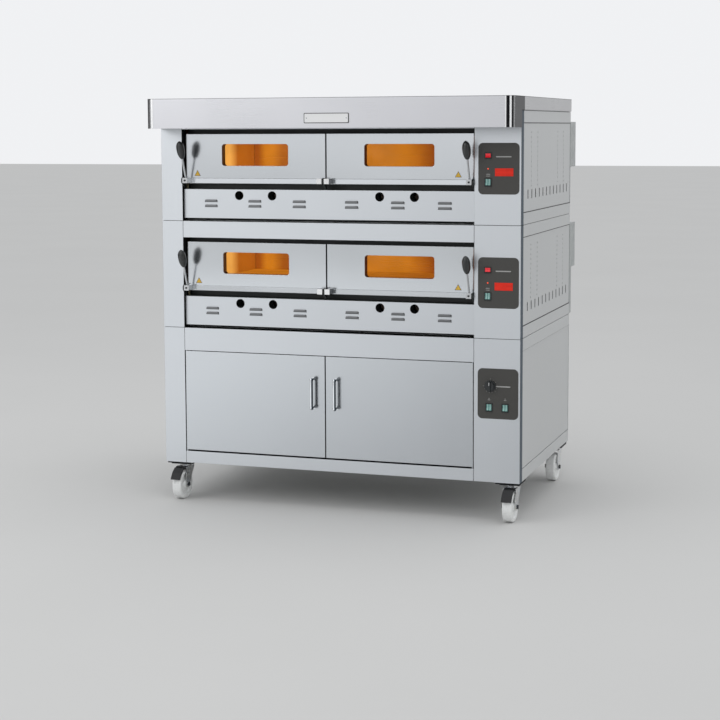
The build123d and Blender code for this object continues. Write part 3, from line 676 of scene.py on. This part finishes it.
single_nodes = {
    "castor_plates": "castor_top", "cabinet_frame": "cabinet_frame", "cabinet_panels": "side",
    "cabinet_liner": "cabinet_liner", "tray_runners": "cabinet_liner", "proving_heater": "heater",
    "deck_fronts": "deck_fronts", "louvre_panels": "louvre", "deck_side_rails": "side",
    "deck_side_panels": "side", "deck_casings": "galvanised", "door_surrounds": "enamel",
    "chamber_liners": "liner", "hearth_stones": "stone", "insulation_blankets": "wool", "gas_trains": "gas",
    "chamber_lamps": "lamp", "door_bearings": "enamel", "rear_boxes": "galvanised", "hood": "hood",
    "control_plates": "overlay", "switch_bezels": "bezel", "display_modules": "display",
    "thermostat_knob": "thermostat", "cabinet_heat_switch": "green_key", "cabinet_steam_switch": "green_key",
}
for node_name, look_name in single_nodes.items():
    dress(node_name, look_name)
for deck in DECK_NAMES:
    dress(f"{deck}_power_switch", "red_key")
    dress(f"{deck}_lamp_switch", "green_key")
    for side in SIDES:
        dress(f"{deck}_{side}_door", "deck_door")
        dress(f"{deck}_{side}_window", "glass")
        dress(f"{deck}_{side}_lever", "lever")
        dress(f"{deck}_{side}_knob", "bakelite")
for side in SIDES:
    dress(f"{side}_cabinet_door", "cabinet_door")
    dress(f"{side}_cabinet_handle", "chrome")
    dress(f"front_{side}_brake_pedal", "pedal")
    for end in ("front", "rear"):
        dress(f"{end}_{side}_fork", "fork_zinc")
        dress(f"{end}_{side}_wheel", "nylon")


# ---- small pieces made as meshes ----
def add_piece(name, mesh_maker, look, body):
    """Makes one mesh piece, gives it its look and lets it ride on a body."""
    mesh = bpy.data.meshes.new(name)
    shape = bmesh.new()
    mesh_maker(shape)
    bmesh.ops.recalc_face_normals(shape, faces=shape.faces)
    shape.to_mesh(mesh)
    shape.free()
    mesh.materials.append(looks[look].material)
    piece = bpy.data.objects.new(name, mesh)
    bpy.context.scene.collection.objects.link(piece)
    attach(piece, body)


def join_rings(shape, rings):
    """A closed solid skinned over rings of points, capped at both ends."""
    rows = [[shape.verts.new(point) for point in ring] for ring in rings]
    count = len(rows[0])
    for first, second in zip(rows, rows[1:]):
        for index in range(count):
            following = (index + 1) % count
            shape.faces.new((first[index], first[following], second[following], second[index]))
    shape.faces.new(rows[0])
    shape.faces.new(list(reversed(rows[-1])))


def rounded_outline(width, height, radius, steps=6):
    """Points round a rectangle with rounded corners, as (x, z)."""
    points = []
    for corner, (side_x, side_z) in enumerate(((1, 1), (-1, 1), (-1, -1), (1, -1))):
        for step in range(steps + 1):
            angle = math.radians(90 * (corner + step / steps))
            points.append((side_x * (width / 2 - radius) + radius * math.cos(angle),
                           side_z * (height / 2 - radius) + radius * math.sin(angle)))
    return points


def polygon_outline(radius, sides, start=0.0):
    angles = [math.radians(start + 360 * index / sides) for index in range(sides)]
    return [(radius * math.cos(angle), radius * math.sin(angle)) for angle in angles]


def add_front_solid(name, centre, outline, layers, look, body):
    """A solid facing the front; each layer is how far it stands out and the scale of the outline there."""

    def make(shape):
        rings = []
        for out, scale in layers:
            y = centre[1] - out
            rings.append([(centre[0] + x * scale, y, centre[2] + z * scale) for x, z in outline])
        join_rings(shape, rings)

    add_piece(name, make, look, body)


def add_badge():
    """A blank name plate on the hood's fascia, held by two domed rivets."""
    centre = (0.016, HOOD_LOW.y, 1.6195)
    add_front_solid("hood_plate_rim", centre, rounded_outline(0.190, 0.041, 0.004),
                    [(-0.0002, 1.0), (0.0016, 1.0), (0.0020, 0.99)], "badge_rim", "oven")
    add_front_solid("hood_plate", centre, rounded_outline(0.184, 0.035, 0.003),
                    [(0.0010, 1.0), (0.0024, 1.0), (0.0028, 0.99)], "badge", "oven")
    for number, offset in enumerate((-0.084, 0.084)):
        add_front_solid(f"hood_plate_rivet_{number}", (centre[0] + offset, centre[1], centre[2]),
                        polygon_outline(0.0026, 16), [(0.0026, 1.0), (0.0034, 0.9), (0.0039, 0.5)],
                        "chrome", "oven")


def add_triangle(deck, side, x):
    """A plain yellow caution triangle with a dark rim, and no sign on it."""
    body = f"{deck}_{side}_door"
    centre = (x, DOOR_FACE, DECK_BASE[deck] + 0.1955)
    outline = polygon_outline(0.0165, 3, 90)
    add_front_solid(f"{body}_caution_rim", centre, outline, [(-0.0001, 1.0), (0.0003, 1.0), (0.0004, 0.98)],
                    "badge_rim", body)
    add_front_solid(f"{body}_caution_plate", centre, outline,
                    [(0.0002, 0.80), (0.0006, 0.80), (0.0007, 0.78)], "yellow", body)


def add_door_lip(deck, side):
    """The folded strip along the foot of a deck door: it leans out a little below its crease."""
    body = f"{deck}_{side}_door"
    window_x = middle(f"{deck}_{side}_window").x
    half_door = 0.3105
    outer_gap, inner_gap = 0.0225, 0.0245
    left = window_x - half_door + (outer_gap if side == "left" else inner_gap)
    right = window_x + half_door - (inner_gap if side == "left" else outer_gap)
    foot = DECK_BASE[deck] + 0.1565
    profile = [(DOOR_FACE + 0.0002, foot + 0.0215), (DOOR_FACE - 0.0009, foot + 0.0205),
               (DOOR_FACE - 0.0014, foot + 0.0012), (DOOR_FACE - 0.0008, foot), (DOOR_FACE + 0.0002, foot)]

    def make(shape):
        join_rings(shape, [[(x, y, z) for y, z in profile] for x in (left, right)])

    add_piece(f"{body}_lip", make, "door_lip", body)


def add_block_screw(deck, side):
    """Black socket screw in the front of the pivot block that holds the lever."""
    centre = (middle(f"{deck}_{side}_knob").x, BODY_FRONT - 0.017, DECK_BASE[deck] + 0.169)
    add_front_solid(f"{deck}_{side}_block_screw", centre, polygon_outline(0.0042, 18),
                    [(-0.0002, 1.0), (0.0018, 1.0), (0.0024, 0.86), (0.0024, 0.5), (0.0008, 0.45)],
                    "bezel", f"{deck}_{side}_door")


def add_louvre(name, centre_x, centre_z):
    """The pressed lip over one slot: it rises out of the panel from its foot and is open along the top."""
    half = 0.0295
    thickness = 0.0008
    taper = 0.22
    steps = 16
    foot = centre_z - 0.0060
    layers = [(0.0, angle) for angle in range(0, 91, 15)]
    layers += [(thickness, angle) for angle in range(90, -1, -15)]

    def make(shape):
        rings = []
        for step in range(steps + 1):
            share = -1 + 2 * step / steps
            swell = math.sin(min(1.0, (1 - abs(share)) / taper) * math.pi / 2)
            reach = 0.0004 + 0.0046 * swell
            rise = 0.0004 + 0.0104 * swell
            ring = []
            for inset, angle in layers:
                lean = math.radians(angle)
                out = max(reach - inset, 0.0002) * math.sin(lean) ** 0.8
                up = foot + inset + (rise - inset) * (1 - math.cos(lean)) ** 0.8
                ring.append((centre_x + half * share, LOUVRE_FACE - out, up))
            rings.append(ring)
        join_rings(shape, rings)

    add_piece(name, make, "louvre_lip", "oven")


def add_louvres():
    for deck in DECK_NAMES:
        for column, offset in enumerate((-0.508, -0.311, -0.114, 0.114, 0.311, 0.508)):
            for row, height in enumerate((0.063, 0.084)):
                add_louvre(f"{deck}_louvre_{column}_{row}", OPEN_MIDDLE + offset, DECK_BASE[deck] + height)


def add_mark(name, x, z, width, height, radius):
    """A thin printed bar on a control panel."""
    add_front_solid(name, (x, PANEL_FACE, z), rounded_outline(width, height, radius),
                    [(-0.0001, 1.0), (0.0002, 1.0), (0.0003, 0.97)], "mark", "oven")


def add_plate_marks():
    """Plain printed bars and lamps on the control panels, where the real one has its signs."""
    bar_heights = {f"{deck}_panel_bar": PANEL_Z[deck] + 0.047 for deck in DECK_NAMES}
    bar_heights["cabinet_panel_bar"] = PANEL_Z["cabinet"] + 0.030
    for name, height in bar_heights.items():
        add_mark(name, PANEL_X + 0.020, height, 0.062, 0.0045, 0.002)
    lamp_x = PANEL_X - 0.043
    for deck in DECK_NAMES:
        centre = (lamp_x, PANEL_FACE, PANEL_Z[deck] - 0.0005)
        add_front_solid(f"{deck}_lamp_led", centre, polygon_outline(0.0032, 16),
                        [(-0.0002, 1.0), (0.0006, 1.0), (0.0016, 0.8), (0.0021, 0.4)],
                        "led", "oven")
        for number, drop in enumerate((0.022, 0.029)):
            add_mark(f"{deck}_lamp_sign_{number}", lamp_x, PANEL_Z[deck] - drop, 0.016, 0.0022, 0.001)
    for node in ("cabinet_heat_switch", "cabinet_steam_switch"):
        spot = middle(node)
        for number, width in enumerate((0.010, 0.005)):
            add_mark(f"{node}_sign_{number}", spot.x, spot.z + 0.030 + 0.006 * number, width, 0.0022, 0.001)


def add_dial():
    """Tick marks along the thermostat's 270 degree turn, and a white line on its grip."""
    low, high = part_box("thermostat_knob")
    centre_x, centre_z = (low.x + high.x) / 2, (low.z + high.z) / 2
    radius = (high.x - low.x) / 2
    gap = 0.0025
    half_width = 0.0005

    def ticks(shape):
        for index in range(11):
            turn = Matrix.Rotation(-math.radians(90 - 27 * index), 3, "Y")
            length = 0.005 if index % 5 == 0 else 0.003
            start, end = radius + gap, radius + gap + length
            corners = ((start, -half_width), (end, -half_width), (end, half_width), (start, half_width))
            rings = []
            for out in (-0.0001, 0.0003):
                spots = [turn @ Vector((x, 0, z)) for x, z in corners]
                rings.append([(centre_x + spot.x, PANEL_FACE - out, centre_z + spot.z) for spot in spots])
            join_rings(shape, rings)

    add_piece("thermostat_ticks", ticks, "mark", "oven")
    add_front_solid("thermostat_pointer", (centre_x, low.y, centre_z + radius * 0.45),
                    rounded_outline(0.0016, radius * 0.55, 0.0007),
                    [(-0.0004, 1.0), (0.0003, 1.0), (0.0004, 0.9)], "badge", "thermostat_knob")


add_badge()
for deck in DECK_NAMES:
    add_triangle(deck, "left", -0.621)
    add_triangle(deck, "right", 0.513)
    for side in SIDES:
        add_door_lip(deck, side)
        add_block_screw(deck, side)
add_louvres()
add_plate_marks()
add_dial()


# ---- floor, light and camera ----
FLOOR_REACH = 60
CARD_FADE = (-2.4, 0.5)


def add_flat_sheet(name, corners, look):
    """One flat four-cornered sheet of the stage."""
    mesh = bpy.data.meshes.new(name)
    mesh.from_pydata(corners, [], [(0, 1, 2, 3)])
    mesh.materials.append(look.material)
    sheet = bpy.data.objects.new(name, mesh)
    bpy.context.scene.collection.objects.link(sheet)
    return sheet


def level(x_low, y_low, x_high, y_high, z):
    return [(x_low, y_low, z), (x_high, y_low, z), (x_high, y_high, z), (x_low, y_high, z)]


def upright(x_left, y_left, x_right, y_right, high):
    return [(x_left, y_left, 0), (x_right, y_right, 0), (x_right, y_right, high), (x_left, y_left, high)]


def make_floor():
    """A wide pale floor with a faint mottle."""
    look = Look("pale_floor", (0.60, 0.60, 0.59), 0.7)
    look.paint(look.blend(look.even_noise(0.7, detail=4.0), (0.585, 0.585, 0.575), (0.615, 0.615, 0.605)))
    look.bump(look.even_noise(80, detail=3.0), 0.0001)
    look.set("Specular IOR Level", 0.0)
    add_flat_sheet("floor", level(-FLOOR_REACH, -FLOOR_REACH, FLOOR_REACH, FLOOR_REACH, 0), look)


def add_reflector(name, corners, brightness, right_brightness=None):
    """A card that shows only in the oven's polished sheets, never to the camera. It may fade to the right."""
    look = Look(name, (0, 0, 0), 0.5)
    look.set("Specular IOR Level", 0)
    look.set("Emission Color", (0.96, 0.98, 1.0, 1))
    look.set("Emission Strength", brightness)
    if right_brightness is not None:
        fade = look.remap(look.axis("X"), CARD_FADE, (brightness, right_brightness))
        look.feed("Emission Strength", fade)
    card = add_flat_sheet(name, corners, look)
    card.visible_camera = False
    card.visible_diffuse = False
    card.visible_transmission = False
    card.visible_shadow = False


def make_world():
    """An even pale studio all round."""
    world = bpy.data.worlds.new("studio")
    bpy.context.scene.world = world
    world.use_nodes = True
    background = world.node_tree.nodes["Background"]
    background.inputs["Color"].default_value = (0.97, 0.98, 1.0, 1.0)
    background.inputs["Strength"].default_value = 0.90


def add_soft_box(name, at, target, size, watts):
    """A rectangular studio lamp aimed at a spot."""
    data = bpy.data.lights.new(name, "AREA")
    data.shape = "RECTANGLE"
    data.size, data.size_y = size
    data.energy = watts
    lamp = bpy.data.objects.new(name, data)
    bpy.context.scene.collection.objects.link(lamp)
    lamp.location = at
    lamp.rotation_euler = (Vector(target) - Vector(at)).to_track_quat("-Z", "Y").to_euler()


def make_camera():
    """The camera in front and to the right, turned by its yaw, then its pitch, then its roll."""
    yaw, pitch, roll = (math.radians(angle) for angle in (CAMERA_YAW, CAMERA_PITCH, CAMERA_ROLL))
    ahead = Vector((-math.sin(yaw), math.cos(yaw), 0))
    right = Vector((math.cos(yaw), math.sin(yaw), 0))
    up = Vector((0, 0, 1))
    forward = ahead * math.cos(pitch) - up * math.sin(pitch)
    top = up * math.cos(pitch) + ahead * math.sin(pitch)
    right_rolled = right * math.cos(roll) + top * math.sin(roll)
    top_rolled = top * math.cos(roll) - right * math.sin(roll)
    data = bpy.data.cameras.new("camera")
    data.sensor_width = 36
    data.lens = CAMERA_LENS
    data.shift_y = CAMERA_SHIFT_Y
    camera = bpy.data.objects.new("camera", data)
    turn = Matrix((right_rolled, top_rolled, -forward)).transposed().to_4x4()
    camera.matrix_world = Matrix.Translation(CAMERA_AT) @ turn
    bpy.context.scene.collection.objects.link(camera)
    bpy.context.scene.camera = camera


make_floor()
make_world()
add_reflector("floor_card", level(-9, -10, 4, -0.9, 0.01), 1.02, 0.46)
add_reflector("right_dark_card", upright(3.2, -1.2, 6.5, 6.0, 4), 0.20)
add_reflector("right_strip_card", upright(2.6, -2.2, 2.9, -1.9, 3.2), 1.1)
add_reflector("right_front_dark_card", upright(2.2, -3.6, 2.55, -2.3, 3.2), 0.05)
add_reflector("left_dark_card", upright(-3.6, 3.0, -3.2, -2.2, 4), 0.06)
add_soft_box("key", (-3.2, -4.6, 3.4), (0, -0.3, 0.9), (3.0, 2.4), 36)
add_soft_box("top", (0.4, -0.6, 4.6), (0, 0, 0.9), (3.0, 3.0), 30)
make_camera()
bpy.context.scene.view_settings.view_transform = "Standard"
